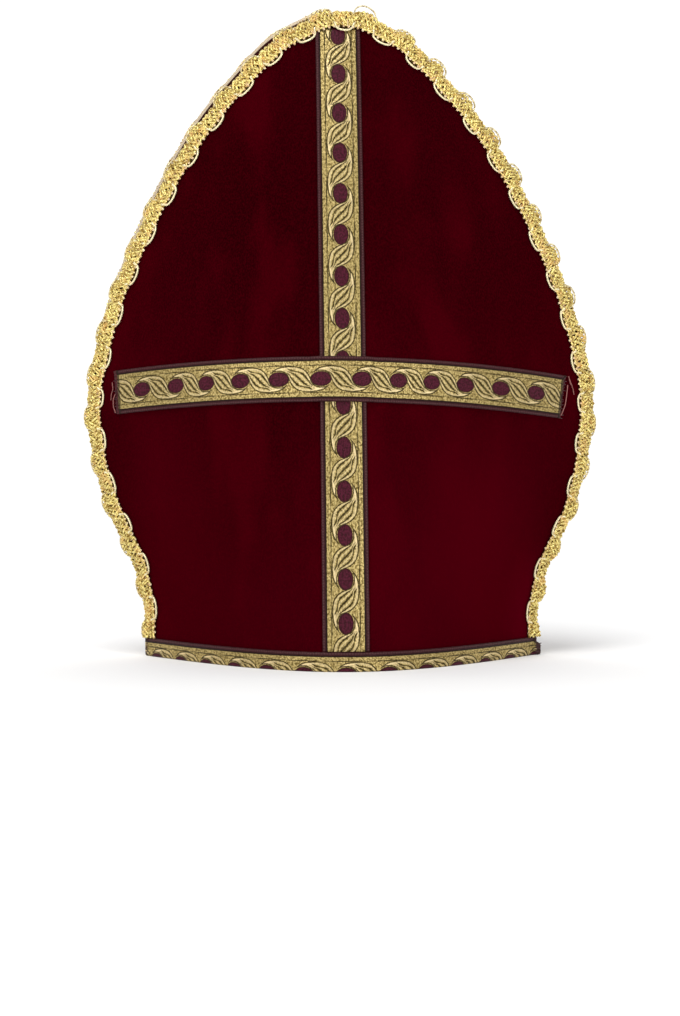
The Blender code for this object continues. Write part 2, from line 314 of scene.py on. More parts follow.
def add_grid(name, rings, finish, cloth=None, stands_for=None, closed=True, capped=True):
    """A piece through rings of points, each with as many. A capped one has a face at each end."""
    rows, columns = rings.shape[:2]
    ring = np.arange(columns)
    caps = (ring[::-1], ring + (rows - 1) * columns) if capped else ()
    faces = grid_faces(rows, columns, closed)
    return add_piece(name, rings, faces, finish, cloth, stands_for, caps)


def add_tubes(name, paths, normals, radius, finish, tone, stands_for=None):
    """Threads along PATHS, which is (threads, points, 3), with a normal and a radius at each point."""
    count, length, _ = paths.shape
    along = unit(np.gradient(paths, axis=1))
    across = unit(np.cross(along, normals))
    out = np.cross(across, along)
    share = np.arange(THREAD_SIDES) / THREAD_SIDES
    turn = share[:, None] * 2 * math.pi
    ring = np.cos(turn) * out[:, :, None] + np.sin(turn) * across[:, :, None]
    points = paths[:, :, None] + ring * radius[:, :, None, None]
    step = np.linalg.norm(np.diff(paths, axis=1), axis=-1)
    reach = np.concatenate([np.zeros((count, 1)), np.cumsum(step, axis=1)], axis=1)
    cloth = np.stack(np.broadcast_arrays(reach[:, :, None] / MM, share, tone[:, None, None]), -1)
    first = np.arange(count) * length * THREAD_SIDES
    faces = (grid_faces(length, THREAD_SIDES, True) + first[:, None, None]).reshape(-1, 4)
    return add_piece(name, points, faces, finish, cloth, stands_for)


def srgb(red, green, blue):
    """A linear colour from the usual 0 to 255 values."""
    parts = [value / 255 for value in (red, green, blue)]
    linear = [p / 12.92 if p <= 0.04045 else ((p + 0.055) / 1.055) ** 2.4 for p in parts]
    return (*linear, 1.0)


def node_operation(operation, swapped=False):
    """A method that works out a new number from this one and another."""

    def work_out(self, other):
        return self.finish.math(operation, *((other, self) if swapped else (self, other)))

    return work_out


class Number:
    """A number that a material works out at each point, so that patterns read as arithmetic."""

    def __init__(self, finish, socket):
        self.finish = finish
        self.socket = socket

    __add__ = node_operation("ADD")
    __sub__ = node_operation("SUBTRACT")
    __rsub__ = node_operation("SUBTRACT", swapped=True)
    __mul__ = node_operation("MULTIPLY")
    __truediv__ = node_operation("DIVIDE")
    __gt__ = node_operation("GREATER_THAN")
    __lt__ = node_operation("LESS_THAN")

    def __neg__(self):
        return self * -1.0

    def __abs__(self):
        return self.finish.math("ABSOLUTE", self)


class Finish:
    """A material's nodes, made from short calls. Plain colours are given as 0 to 255 values."""

    def __init__(self, name):
        self.material = bpy.data.materials.new(name)
        self.material.use_nodes = True
        self.tree = self.material.node_tree
        self.shader = self.tree.nodes["Principled BSDF"]

    def node(self, kind, inputs=(), **settings):
        made = self.tree.nodes.new("ShaderNode" + kind)
        for key, value in settings.items():
            setattr(made, key, value)
        for key, value in dict(inputs).items():
            self.feed(made.inputs[key], value)
        return made

    def feed(self, socket, value):
        value = value.socket if isinstance(value, Number) else value
        if isinstance(value, bpy.types.NodeSocket):
            self.tree.links.new(value, socket)
        else:
            socket.default_value = value

    def math(self, operation, *values, clamp=False):
        made = self.node("Math", enumerate(values), operation=operation, use_clamp=clamp)
        return Number(self, made.outputs[0])

    def vector(self, operation, *values):
        return self.node("VectorMath", enumerate(values), operation=operation).outputs

    def most(self, first, *others):
        for other in others:
            first = self.math("MAXIMUM", first, other)
        return first

    def off_whole(self, value):
        """How far VALUE is from the nearest whole number."""
        return self.math("PINGPONG", value, 0.5)

    def wave(self, turns):
        return self.math("SINE", turns * (2 * math.pi))

    def ramp(self, value, low, high, to_low=0.0, to_high=1.0):
        """VALUE taken smoothly from low..high to to_low..to_high, and held beyond."""
        ends = {0: value, 1: low, 2: high, 3: to_low, 4: to_high}
        return Number(self, self.node("MapRange", ends, interpolation_type="SMOOTHSTEP").outputs[0])

    def band(self, value, middle, core, reach, strength=1.0):
        """STRENGTH where VALUE is within CORE of MIDDLE, and nothing past REACH of it."""
        return self.ramp(abs(value - middle), core, reach, strength, 0)

    def mix(self, share, low, high):
        low, high = (srgb(*colour) if isinstance(colour, tuple) else colour for colour in (low, high))
        return self.node("Mix", {0: share, 6: low, 7: high}, data_type="RGBA").outputs[2]

    def shade(self, value, low, high, dark, light):
        """Colours from DARK to LIGHT as VALUE goes from low to high."""
        return self.mix(self.ramp(value, low, high), dark, light)

    def noise(self, where, scale, detail=2.0, roughness=0.5):
        inputs = {"Vector": where, "Scale": scale, "Detail": detail, "Roughness": roughness}
        return Number(self, self.node("TexNoise", inputs).outputs[0])

    def split(self, vector):
        return [Number(self, socket) for socket in self.node("SeparateXYZ", {0: vector}).outputs]

    def cloth(self):
        """The cloth coordinates: a vector, and its three numbers."""
        vector = self.node("Attribute", attribute_name="cloth").outputs["Vector"]
        return vector, *self.split(vector)

    def place(self):
        return self.node("TexCoord").outputs["Object"]

    def stretch(self, vector, factors):
        return self.vector("MULTIPLY", vector, factors)[0]

    def bump(self, height, distance, strength=1.0):
        made = self.node("Bump", {"Height": height, "Distance": distance, "Strength": strength})
        self.feed(self.shader.inputs["Normal"], made.outputs[0])

    def curve(self, value, points):
        made = self.node("FloatCurve", {"Value": value})
        line = made.mapping.curves[0]
        (line.points[0].location, line.points[1].location) = points[0], points[-1]
        for x, y in points[1:-1]:
            line.points.new(x, y)
        made.mapping.update()
        return Number(self, made.outputs[0])

    def set(self, **values):
        for key, value in values.items():
            self.feed(self.shader.inputs[key.replace("_", " ")], value)


# Painted sheen and painted shade on the velvet: lighter patches low on both sides, darker ones near
# its side edges and towards the middle
VELVET_PAINTED_LIGHT = (
    # middle (right, up) and reach (right, up) in millimetres, strength, colour
    ((-88, 78), (42, 95), 0.22, (80, 0, 13)),
    ((72, 70), (46, 90), 0.45, (84, 0, 14)),
    ((112, 22), (26, 50), 0.6, (96, 0, 24)),
    ((-132, 110), (26, 80), 0.7, (38, 0, 4)),
    ((128, 96), (24, 60), 0.6, (40, 0, 5)),
    ((-45, 235), (60, 110), 0.5, (24, 0, 2)),
    ((-48, 130), (70, 110), 0.55, (20, 0, 2)),
)


def velvet_finish():
    made = Finish("wine_velvet")
    place = made.place()
    cloudy = made.noise(place, 9, 3)
    sheen_streaks = made.noise(made.stretch(place, (30, 30, 12)), 1, 2)
    pile = made.noise(made.stretch(place, (1500, 1500, 900)), 1, 2)
    # Painted light: the velvet is painted lighter towards the bottom, where more light falls on it.
    painted_light_below = made.ramp(made.split(place)[2], 60 * MM, 240 * MM, 1, 0)
    colour = made.mix(painted_light_below, (37, 0, 4), (55, 0, 8))
    # Each patch paints sheen or shade over the velvet's colour.
    for (x, z), (wide, high), strength, shade in VELVET_PAINTED_LIGHT:
        moved = made.vector("SUBTRACT", place, (x * MM, 0, z * MM))[0]
        shares = made.stretch(moved, (1 / (wide * MM), 0, 1 / (high * MM)))
        away = made.vector("LENGTH", shares)["Value"]
        colour = made.mix(made.ramp(away, 0, 1, strength, 0), colour, shade)
    colour = made.mix(made.ramp(cloudy, 0.35, 0.65, 0.25, 0), colour, (36, 0, 2))
    # Painted sheen: lighter streaks in random places.
    colour = made.mix(made.ramp(sheen_streaks, 0.45, 0.7, 0, 0.4), colour, (72, 0, 10))
    colour = made.mix(made.ramp(pile, 0.35, 0.7, 0, 0.35), colour, (78, 0, 12))
    made.set(Base_Color=colour, Roughness=0.9, Specular_IOR_Level=0.0)
    made.set(Sheen_Weight=0.12, Sheen_Roughness=0.45, Sheen_Tint=srgb(200, 0, 30))
    made.bump(pile, 0.2 * MM, 0.5)
    return made.material


def lining_finish():
    made = Finish("red_lining")
    place = made.place()
    threads = {"Vector": place, "Scale": 420.0, "Distortion": 0.6}
    weft, warp = (made.node("TexWave", threads, bands_direction=way).outputs[1] for way in "ZX")
    weave = made.math("MULTIPLY", weft, warp)
    colour = made.shade(made.noise(place, 30, 2), 0.3, 0.7, (92, 8, 16), (112, 12, 22))
    made.set(Base_Color=made.mix(weave, (70, 4, 10), colour), Roughness=0.7, Specular_IOR_Level=0.3)
    made.bump(weave, 0.15 * MM, 0.5)
    return made.material


# The upper edge of one strand of the ribbon's woven rope, which winds from above one dot to below
# the next. Its lower edge is the same line turned half round.
STRAND_EDGE = (
    # repeats past the dot, share of the rope's reach
    (-0.25, 0.36),
    (-0.18, 0.56),
    (-0.09, 0.80),
    (0.03, 0.95),
    (0.15, 1.00),
    (0.30, 1.02),
    (0.42, 0.98),
    (0.52, 0.90),
    (0.62, 0.70),
    (0.71, 0.37),
    (0.755, 0.0),
    (0.82, -0.38),
    (0.91, -0.57),
    (1.00, -0.62),
    (1.10, -0.60),
    (1.18, -0.50),
    (1.25, -0.36),
)
STRAND_START, STRAND_SPAN = -0.25, 1.5
CURVE_ROOM = 1.1


def ribbon_finish():
    """Gold brocade with a woven rope that winds round plum dots, between plum selvedges."""
    made = Finish("guilloche_ribbon")
    cloth, along, across, cut = made.cloth()
    most, ramp, band = made.most, made.ramp, made.band
    repeat = along / PATTERN_REPEAT
    share = made.math("FRACT", repeat)
    height = across / PATTERN_REACH
    edge = np.array(STRAND_EDGE)
    slope = np.gradient(edge[:, 1] * PATTERN_REACH, edge[:, 0] * PATTERN_REPEAT)
    drawn_at = (edge[:, 0] - STRAND_START) / STRAND_SPAN
    drawn_to = 0.5 + 0.5 * edge[:, 1] / CURVE_ROOM
    steepness = 1 / np.hypot(1, slope)
    crossing = edge[(edge[:, 0] > 0.5) & (edge[:, 0] < 0.95)]

    def edge_line(x):
        """The strand's upper edge at this place along it, and how level it is there."""
        place = made.math("DIVIDE", x - STRAND_START, STRAND_SPAN, clamp=True)
        line = made.curve(place, list(zip(drawn_at, drawn_to)))
        level = made.curve(place, list(zip(drawn_at, steepness)))
        return (line - 0.5) * (2 * CURVE_ROOM), level

    def crossing_line(at_height):
        """Where along the repeat the strand's upper edge is at this height."""
        line = [(0.5 + 0.5 * h, t) for t, h in crossing[::-1]]
        return made.curve(made.math("MULTIPLY_ADD", at_height, 0.5, 0.5, clamp=True), line)

    late = crossing_line(height)
    early = 1.0 - crossing_line(-height)
    by_place = ramp(abs(height), 0.5, 0.62, 0.5, 0)
    strands = []
    for shift in (-1.0, 0.0, 1.0):
        x = share - shift
        upper, upper_level = edge_line(x)
        turned, lower_level = edge_line(1.0 - x)
        lower = -turned
        width = upper - lower
        depth = (height - lower) / most(width, 0.001)
        inside = (x > STRAND_START) * (x < 1 - STRAND_START) * (depth > 0.0) * (depth < 1.0)
        from_upper = (upper - height) * upper_level * PATTERN_REACH
        from_lower = (height - lower) * lower_level * PATTERN_REACH
        off_edge = made.math("MINIMUM", from_upper, from_lower)
        passed = (x - early) / most(late - early, 0.01)
        flow = depth + (passed - depth) * by_place
        comb = made.off_whole(flow * 4.0)
        inner = ramp(comb, 0.11, 0.25, 1, 0) * ramp(width, 0.5, 0.9)
        line = inside * most(ramp(off_edge, 0.42, 0.72, 1, 0), inner)
        far_edge = from_upper + ramp(x, 0.42, 0.58) * (from_lower - from_upper)
        hem = band(far_edge, 1.2, 0.3, 0.55) * ramp(width, 0.6, 1.5, 1, 0.25)
        near_hem = band(off_edge, 1.15, 0.25, 0.5, 0.55)
        between = ramp(comb, 0.3, 0.5, 0, 0.6) * ramp(width, 0.5, 0.9)
        strands.append((inside, line, inside * most(hem, between, near_hem)))
    inside_any, lines, creams = (most(*of_each) for of_each in zip(*strands))

    to_dot = made.off_whole(repeat) * (PATTERN_REPEAT / DOT_HALF_LENGTH)
    dot_height = across / DOT_HALF_HEIGHT
    dot_size = to_dot * to_dot + dot_height * dot_height
    dot = ramp(dot_size, 0.85, 1.0, 1, 0) * (1.0 - inside_any)
    dot_rim = ramp(dot_size, 0.5, 0.92)

    far = abs(across)
    by_triangle = ramp(made.off_whole(repeat + 0.5), 0.1, 0.3, 0.5, 1)
    dark = most(lines, band(far, PATTERN_REACH + 0.35, 0.15, 0.42) * by_triangle)
    gold_field = ramp(far, GOLD_HALF_WIDTH, GOLD_HALF_WIDTH + 0.25, 1, 0)
    speckle = made.noise(made.stretch(cloth, (0.7, 0.95, 1)), 1.0, 2, 0.7)
    picks = made.wave(across / 0.62)
    grain = (speckle - 0.5) * 2.1 + made.wave(along / 0.8 + picks * 0.223) * 0.12 + 0.5

    gold = made.shade(grain, 0.05, 0.95, (90, 72, 22), (222, 198, 132))
    gold = made.mix(creams * 0.85, gold, (244, 222, 172))
    gold = made.mix(dark * ramp(grain, 0.2, 1.1, 1.0, 0.8), gold, (46, 36, 10))
    plum = made.shade(grain, 0.2, 0.8, (50, 12, 20), (82, 22, 42))
    plum = made.mix(dot_rim * 0.8, plum, (38, 12, 8))
    dashes = ramp(made.wave(along / 1.5), -0.4, 0.5)
    selvedge = made.shade(grain, 0.2, 0.8, (42, 12, 14), (60, 26, 28))
    selvedge = made.mix(band(far, 11.6, 0.15, 0.55) * (dashes * 0.5 + 0.2), selvedge, (92, 60, 62))
    selvedge = made.mix(band(far, GOLD_HALF_WIDTH + 0.5, 0.25, 0.6), selvedge, (26, 6, 5))
    colour = made.mix(gold_field, selvedge, made.mix(dot, gold, plum))

    stitched = band(cut, CUT_STITCH, 0.5, 0.9)
    beyond = ramp(cut, CUT_STITCH - 0.7, CUT_STITCH - 0.4, 1, 0)
    raw_edge = made.shade(grain, 0.2, 0.8, (48, 12, 16), (80, 34, 38))
    colour = made.mix(stitched * 0.85, colour, (34, 20, 10))
    colour = made.mix(beyond, colour, raw_edge)
    foil = gold_field * (0.85 - dot * 0.8) * (1.0 - most(beyond, stitched))
    made.set(
        Base_Color=colour,
        Metallic=foil * (1.0 - dark * 0.7),
        Roughness=ramp(grain, 0.1, 0.9, 0.6, 0.36),
        Specular_IOR_Level=0.12,
    )
    made.bump(grain * 0.55 - dark * 0.8 - dot * 0.5, 0.25 * MM, 0.8)
    return made.material


def braid_finish(name, dark, light, reflected_warm, metal, by_tone=0.25):
    """Threads wound with foil, each a little different in tone, with painted glints and painted shade
    in spots along them and warm patches of painted reflection.
    """
    made = Finish(name)
    cloth, along, round_it, tone = made.cloth()
    glint = made.noise(made.stretch(cloth, (0.55, 2.2, 37.0)), 1.1, 1, 0.6)
    cloudy = made.noise(made.place(), 160, 2)
    # Painted glints and painted shade: spots along each thread run from dark to light.
    colour = made.shade(glint, 0.34, 0.6, dark, light)
    # Painted reflection: warm patches over the threads.
    colour = made.mix(made.ramp(cloudy, 0.5, 0.7, 0, 0.55), colour, reflected_warm)
    colour = made.mix(made.ramp(tone, 0, 1, 0, by_tone), colour, light)
    made.set(Base_Color=colour, Roughness=made.ramp(glint, 0.3, 0.7, 0.45, 0.25), Metallic=metal)
    made.bump(made.wave(along * 1.25 + round_it) * 0.3 + glint, 0.25 * MM, 0.7)
    return made.material


def backing_finish():
    made = Finish("backing_tape")
    _, along, face_up, inward = made.cloth()
    rib = made.wave(along / 0.9)
    reverse = made.shade(rib, -1, 1, (222, 196, 160), (246, 230, 204))
    reverse = made.mix(made.ramp(inward, -1.4, -0.9), reverse, (58, 16, 12))
    # Painted shade: the tape's face is dark olive, to show as the shade in the gaps between the
    # plait's threads.
    above = made.shade(rib, -1, 1, (46, 32, 8), (92, 70, 20))
    colour = made.mix(made.ramp(face_up, 0.5, 0.9), reverse, above)
    made.set(Base_Color=colour, Roughness=0.8, Specular_IOR_Level=0.1)
    made.bump(rib, 0.1 * MM, 0.5)
    return made.material


def plain_thread_finish(name, dark, light):
    made = Finish(name)
    _, along, round_it, _ = made.cloth()
    winding = made.wave(along * 1.6 + round_it)
    made.set(Base_Color=made.shade(winding, -1, 1, dark, light), Roughness=0.6)
    made.bump(winding, 0.1 * MM, 0.5)
    return made.material


VELVET = velvet_finish()
LINING = lining_finish()
RIBBON = ribbon_finish()
GOLD = braid_finish("gold_thread", (142, 104, 24), (255, 236, 150), (242, 196, 124), 0.65)
WEFT = braid_finish("pale_weft", (206, 164, 104), (250, 226, 184), (236, 190, 150), 0.25)
CORD = braid_finish("smooth_cord", (138, 112, 58), (255, 242, 196), (222, 192, 124), 0.6, 0.85)
BACKING = backing_finish()
LOOSE = plain_thread_finish("loose_weft", (108, 50, 48), (176, 114, 104))
FRAY = plain_thread_finish("frayed_plum", (44, 20, 22), (96, 60, 60))


# How a panel's section is rounded at its edge, in shares of its thickness
EDGE_ROUNDING = (
    # lift, inset
    (0.00, 0.16),
    (-0.06, 0.05),
    (-0.20, 0.00),
    (-0.80, 0.00),
    (-0.94, 0.05),
    (-1.00, 0.16),
)


def add_panel(side, place):
    """A horn: velvet outside and round the edge, lining inside."""
    heights = spaced(RIBBON_THICKNESS + GAP, PEAK_HEIGHT, PANEL_ROW)[:, None]
    reach = math.asinh(1 / UPPER_ROUNDNESS)
    shares = UPPER_ROUNDNESS * np.sinh(np.linspace(-reach, reach, PANEL_COLUMNS))
    thickness = PANEL_THICKNESS / np.maximum(half_width(heights), THINNEST)
    right, left = (
        [
            lifted(way * (1 - inset * thickness), heights, lift * PANEL_THICKNESS)
            for lift, inset in EDGE_ROUNDING[::way]
        ]
        for way in (1, -1)
    )
    inner = shares[1:-1][None]
    outside = lifted(inner, heights, 0.0)
    inside = lifted(inner[:, ::-1], heights, -PANEL_THICKNESS)
    rings = place(np.concatenate([outside, *right, inside, *left], axis=1))
    piece = add_grid(f"{side}_velvet", rings, VELVET, stands_for=f"{side}_panel")
    piece.data.materials.append(LINING)
    column = np.arange(len(piece.data.polygons)) % rings.shape[1]
    first, last = inner.size + len(EDGE_ROUNDING) - 1, 2 * inner.size + len(EDGE_ROUNDING)
    lined = (column >= first) & (column < last)
    lined[-2:] = False
    piece.data.polygons.foreach_set("material_index", lined.astype(np.int32))
    return piece


# A ribbon's rounded selvedge, from its face to its back
SELVEDGE = (
    # inset in millimetres, share of the thickness
    (0.12, 0.88),
    (0.0, 0.6),
    (0.0, 0.25),
    (0.2, 0.0),
)
SELVEDGE_INSET = 0.45 * MM


def ribbon_section():
    """(across, height) round a ribbon's section: rounded selvedges and a flat face."""
    half = RIBBON_WIDTH / 2
    flat = np.linspace(-half + SELVEDGE_INSET, half - SELVEDGE_INSET, RIBBON_COLUMNS)
    rounded = [(half - inset * MM, share * RIBBON_THICKNESS) for inset, share in SELVEDGE]
    ring = [(x, RIBBON_THICKNESS) for x in flat] + rounded
    ring += [(x, 0.0) for x in flat[::-1]]
    ring += [(-x, y) for x, y in reversed(rounded)]
    return np.array(ring)


def add_band(name, rings, along, across, stands_for, cut=UNCUT):
    """A ribbon through rings of points, one for each station along it, CUT mm from its cut end."""
    cloth = np.stack(np.broadcast_arrays(along / MM, across[None] / MM, cut), -1)
    return add_grid(name, rings, RIBBON, cloth, stands_for)


def upright_x(z):
    return UPRIGHT_BOTTOM_X + (UPRIGHT_TOP_X - UPRIGHT_BOTTOM_X) * z / PEAK_HEIGHT


# Where the dots fall along each ribbon, in millimetres: sewing stretched and puckered each a little.
# The upright is measured up from the floor, the others to the right of their middles.
UPRIGHT_DOTS = 357.1 - 23.67 * np.arange(15, -1, -1)
BAR_DOTS = (-124.4, -99.4, -79.8, -58.5, -36.1, -12.5, 9.3, 29.5, 48.4, 69.1, 93.4, 120.0)
RIM_DOTS = (-138.5, -115.2, -92.5, -69.5, -46.0, -22.9, 0.4, 24.1, 48.7, 72.7, 97.2, 121.4, 149.3)


def woven(along, dots):
    """Places along a ribbon in metres of its own weave, from where its dots fall."""
    dots = np.array(dots) * MM
    beyond = 10
    before = dots[0] - beyond * (dots[1] - dots[0])
    after = dots[-1] + beyond * (dots[-1] - dots[-2])
    places = np.r_[before, dots, after]
    counted = np.r_[-beyond, np.arange(len(dots)), len(dots) - 1 + beyond]
    return np.interp(along, places, counted * PATTERN_REPEAT * MM)


def add_upright(side, place):
    bottom = RIM_OUTER_FLAP + GAP
    z = np.linspace(bottom, PEAK_HEIGHT - UPRIGHT_TOP_MARGIN, UPRIGHT_ROWS)
    across, high = ribbon_section().T
    along = woven(arc_length(on_face(upright_x(z), z, 0)) + bottom, UPRIGHT_DOTS)
    rings = on_face(upright_x(z)[:, None] + across, z[:, None], GAP + high)
    return add_band(
        f"{side}_upright", place(rings), along[:, None], -across, f"{side}_upright_ribbon"
    )


def bar_ends():
    level = np.array([BAR_HEIGHT - BAR_DROOP])
    reach = BRAID_WIDTH - BRAID_OVERHANG + BRAID_SCALLOP
    ends = []
    for side, margin in ((-1, BAR_LEFT_MARGIN), (1, BAR_RIGHT_MARGIN)):
        point, inward, _ = edge_frame(level, side)
        ends.append((point + inward * (reach + margin))[0, 0])
    return ends


def bar_lift(x):
    flat = RIBBON_WIDTH / 2 + GAP
    step = np.clip((np.abs(x - upright_x(BAR_HEIGHT)) - flat) / BAR_STEP_LENGTH, 0, 1)
    step = step * step * (3 - 2 * step)
    return GAP + (RIBBON_THICKNESS + GAP) * (1 - step)


# How the bar's ends are cut, in millimetres from the square end: what each edge of it lacks
BAR_CUTS = (
    # across, left, right
    (-12.5, 1.0, 5.6),
    (-9.6, 0.6, 5.2),
    (9.6, -0.4, 2.9),
    (12.5, -1.2, 1.0),
)


def add_bar(side, place):
    left, right = bar_ends()
    reach = (right - left) / 2
    across, high = ribbon_section().T
    lack_left, lack_right = (lack * MM for lack in read_table(BAR_CUTS, across / MM))
    share = np.linspace(0, 1, BAR_ROWS)[:, None]
    x = (left + lack_left) * (1 - share) + (right - lack_right) * share

    def middle_of(x):
        return BAR_HEIGHT - BAR_DROOP * (x / reach) ** 2 + x * math.tan(BAR_TILT)

    middle = middle_of(x)
    slope = (on_face(x, middle + PROBE, 0) - on_face(x, middle - PROBE, 0))[..., 1] / (2 * PROBE)
    rings = on_face(x, middle + across / np.hypot(1, slope), bar_lift(x) + high)
    line = np.linspace(left - 5 * MM, right + 5 * MM, 600)
    reached = arc_length(on_face(line, middle_of(line), 0))
    along = np.interp(x, line, reached - np.interp(0, line, reached))
    cut = np.minimum(x - x[:1] + 0.6 * MM, x[-1:] - x + 1.5 * MM) / MM
    along = woven(along, BAR_DOTS)
    return add_band(f"{side}_cross_bar", place(rings), along, across, f"{side}_cross_ribbon", cut)


# How far the rim ribbon's right end stands out past the seam
RIM_FLAP = (
    # height, reach, both in millimetres
    (0.0, 2.4),
    (1.5, 2.9),
    (6.4, 2.6),
    (7.6, 0.5),
    (10.5, 0.2),
)


def add_rim(side, place):
    """The ribbon folded round the bottom edge, with rounded folds."""
    outer = GAP + RIBBON_THICKNESS
    inner = -PANEL_THICKNESS - outer
    fold = 1.1 * MM
    inner_flap = RIBBON_WIDTH - RIM_OUTER_FLAP - (outer - inner)
    round_steps = np.linspace(0, math.pi / 2, 6)
    flat = np.linspace(RIM_OUTER_FLAP - 0.3 * MM, fold, 12)[:-1]
    path = [(outer, z) for z in flat]
    path += [(outer - fold + fold * math.cos(a), fold - fold * math.sin(a)) for a in round_steps]
    path += [(inner + fold - fold * math.sin(a), fold - fold * math.cos(a)) for a in round_steps]
    path += [(inner, z) for z in np.linspace(fold, inner_flap, 6)[1:]]
    path = np.array(path)
    width = arc_length(path) + 0.3 * MM
    across = RIBBON_WIDTH / 2 - width * RIBBON_WIDTH / width[-1]
    core = np.array([
        (-PANEL_THICKNESS - GAP, inner_flap),
        (-PANEL_THICKNESS - GAP, RIBBON_THICKNESS),
        (GAP, RIBBON_THICKNESS),
        (GAP, RIM_OUTER_FLAP),
        (GAP + 0.7 * RIBBON_THICKNESS, RIM_OUTER_FLAP),
    ])
    ring = np.vstack([path, core])
    across = np.concatenate([across, [across[-1]] * 2, [across[0]] * 3])
    shares = np.sinh(np.linspace(-1, 1, RIM_ROWS) * math.asinh(1.0))
    ends = np.abs(shares) > 1 - 1e-9
    points = lifted(shares[:, None], ring[None, :, 1], ring[None, :, 0], ends[:, None])
    along = arc_length(lifted(shares, 0.0, outer))
    along = (along - np.interp(0, shares, along))[:, None] * np.ones(len(ring))
    beyond = read_table(RIM_FLAP, ring[:, 1] / MM)[0] * MM
    points[-1, :, 0] += beyond
    along[-1] += beyond
    cut = (along[-1] - along) / MM + 0.9
    along = woven(along, RIM_DOTS)
    return add_band(f"{side}_rim_band", place(points), along, across, f"{side}_rim_ribbon", cut)


class EdgeLine:
    """The panel's edge as one path from the left end of the braid over the peak to the right end."""

    def __init__(self, step):
        heights = spaced(RIM_OUTER_FLAP + GAP, PEAK_HEIGHT, step)
        z = np.r_[heights, heights[-2::-1]]
        side = np.r_[-np.ones(len(heights)), np.ones(len(heights) - 1)]
        self.point, self.inward, self.normal = edge_frame(z, side)
        flat = np.stack([side * half_width(z), z], -1)
        self.distance = arc_length(flat) - arc_length(flat)[-1] / 2
        self.free = np.minimum(above_seam(z) / BRAID_FREE_RISE, 1)
        left, right, swell = (column * MM for column in read_table(BRAID_SPREAD, z / MM))
        self.spread = np.where(side < 0, left, right)
        self.swell = np.where(side < 0, LEFT_SWELL * swell, swell)

    def read(self, distance, values):
        return np.interp(distance, self.distance, values)

    def at(self, distance, vectors):
        return np.stack([self.read(distance, values) for values in vectors.T], -1)

    def places(self, distance, u, lift):
        """Points at these distances right of the peak, u in from the edge, lifted off the face."""
        point = self.at(distance, self.point)
        inward = unit(self.at(distance, self.inward))
        normal = unit(self.at(distance, self.normal))
        flat = point + inward * u[..., None]
        on = on_face(flat[..., 0], np.minimum(flat[..., 2], PEAK_HEIGHT - 0.05 * MM), lift)
        off = flat + normal * lift[..., None]
        share = np.clip(u / EDGE_BLEND, 0, 1)[..., None]
        return off + (on - off) * share, normal


EDGE_BLEND = 1 * MM
PLAIT_THREADS = 6
PLAIT_CYCLE = 13.5 * MM
PLAIT_RADIUS = 0.72 * MM
PLAIT_STEP = 0.65 * MM
THREAD_SIDES = 6
WEFT_PITCH = 3.3 * MM
WEFT_STEPS = 14
WEFT_RADIUS = 0.45 * MM
CORD_RADIUS = 0.62 * MM
LOOP_POINTS = 26
LOOP_OVERRUN = 0.22 * math.pi
LOOP_HALF_LENGTH = 5.8 * MM
LOOP_HEIGHT = BRAID_SCALLOP + 0.2 * MM
INNER_LOOP_EXTRA = 0.6 * MM
LOOP_SINK = 3.6 * MM
LOOP_OVER = 1.3 * MM
LOOSE_LOOP = 2.2 * MM
BACK_FLATNESS = 0.15
FILL_ROUNDNESS = 0.7

# How much further in the braid reaches than its even width, and how much further out its scallops,
# which swell less on the left
LEFT_SWELL = 0.1
BRAID_SPREAD = (
    # height, left, right, scallops, all in millimetres
    (0, 0.5, 0.0, 0.6),
    (30, 2.0, 0.0, 1.2),
    (44, 3.2, 0.4, 1.4),
    (58, 4.8, 0.8, 1.4),
    (78, 4.4, 0.4, 0.6),
    (105, 2.2, 1.2, 0.0),
    (125, 2.6, 3.2, 0.0),
    (175, 1.8, 2.0, 0.3),
    (210, -0.4, -0.4, 1.2),
    (330, -0.9, -1.0, 1.2),
    (364, -0.7, -0.7, 0.4),
)


def smooth_noise(rng, count, length, knots):
    """COUNT wandering lines of LENGTH values between -1 and 1, with KNOTS turning points."""
    values = rng.uniform(-1, 1, (count, knots))
    at = np.linspace(0, knots - 1, length)
    low = np.minimum(at.astype(int), knots - 2)
    share = at - low
    share = share * share * (3 - 2 * share)
    return values[:, low] * (1 - share) + values[:, low + 1] * share


# How far sewing pushed the braid together towards the peak
BRAID_CREEP = (
    # way from the peak, creep, both in millimetres
    (14, 0.0),
    (25, 1.0),
    (47, 2.6),
    (70, 4.0),
    (103, 5.0),
    (243, 8.0),
    (400, 8.5),
)


def crept(distance):
    """The way along the braid itself at a way along the edge, both from the peak."""
    creep = read_table(BRAID_CREEP, np.abs(distance) / MM)[0] * MM
    return distance + np.sign(distance) * creep


def scallop_wave(distance):
    return np.cos(2 * math.pi * (crept(distance) - FIRST_SCALLOP) / BRAID_REPEAT)


def ribbon_under(distance, line):
    """How far the braid is raised where it passes over the top of the upright."""
    x = line.at(distance, line.point)[..., 0]
    away = np.abs(x - upright_x(PEAK_HEIGHT)) / (RIBBON_WIDTH / 2)
    return RIBBON_THICKNESS * np.clip((1.35 - away) / 0.35, 0, 1)


def braid_edges(distance, line, outer_swell, inner_swell):
    """How far out and in the braid's body reaches, with a share of each scallop."""
    wave = scallop_wave(distance)
    scallop = BRAID_SCALLOP + line.read(distance, line.swell)
    out = BRAID_OVERHANG + outer_swell * scallop * np.maximum(wave, 0) ** FILL_ROUNDNESS
    inner = BRAID_WIDTH - BRAID_OVERHANG + line.read(distance, line.spread)
    inner = inner + inner_swell * BRAID_SCALLOP * np.maximum(-wave, 0)
    return -line.read(distance, line.free) * out, inner


def braid_tubes(name, side, place, line, distance, u, lift, radius, finish, tone, stands_for=None):
    lift = np.maximum(lift + ribbon_under(distance, line), GAP + radius)
    paths, normals = line.places(distance, u, lift)
    if side == "back":
        normals = normals * (1, -1, 1)
    name = f"{side}_{name}"
    return add_tubes(name, place(paths), normals, radius, finish, tone, stands_for)


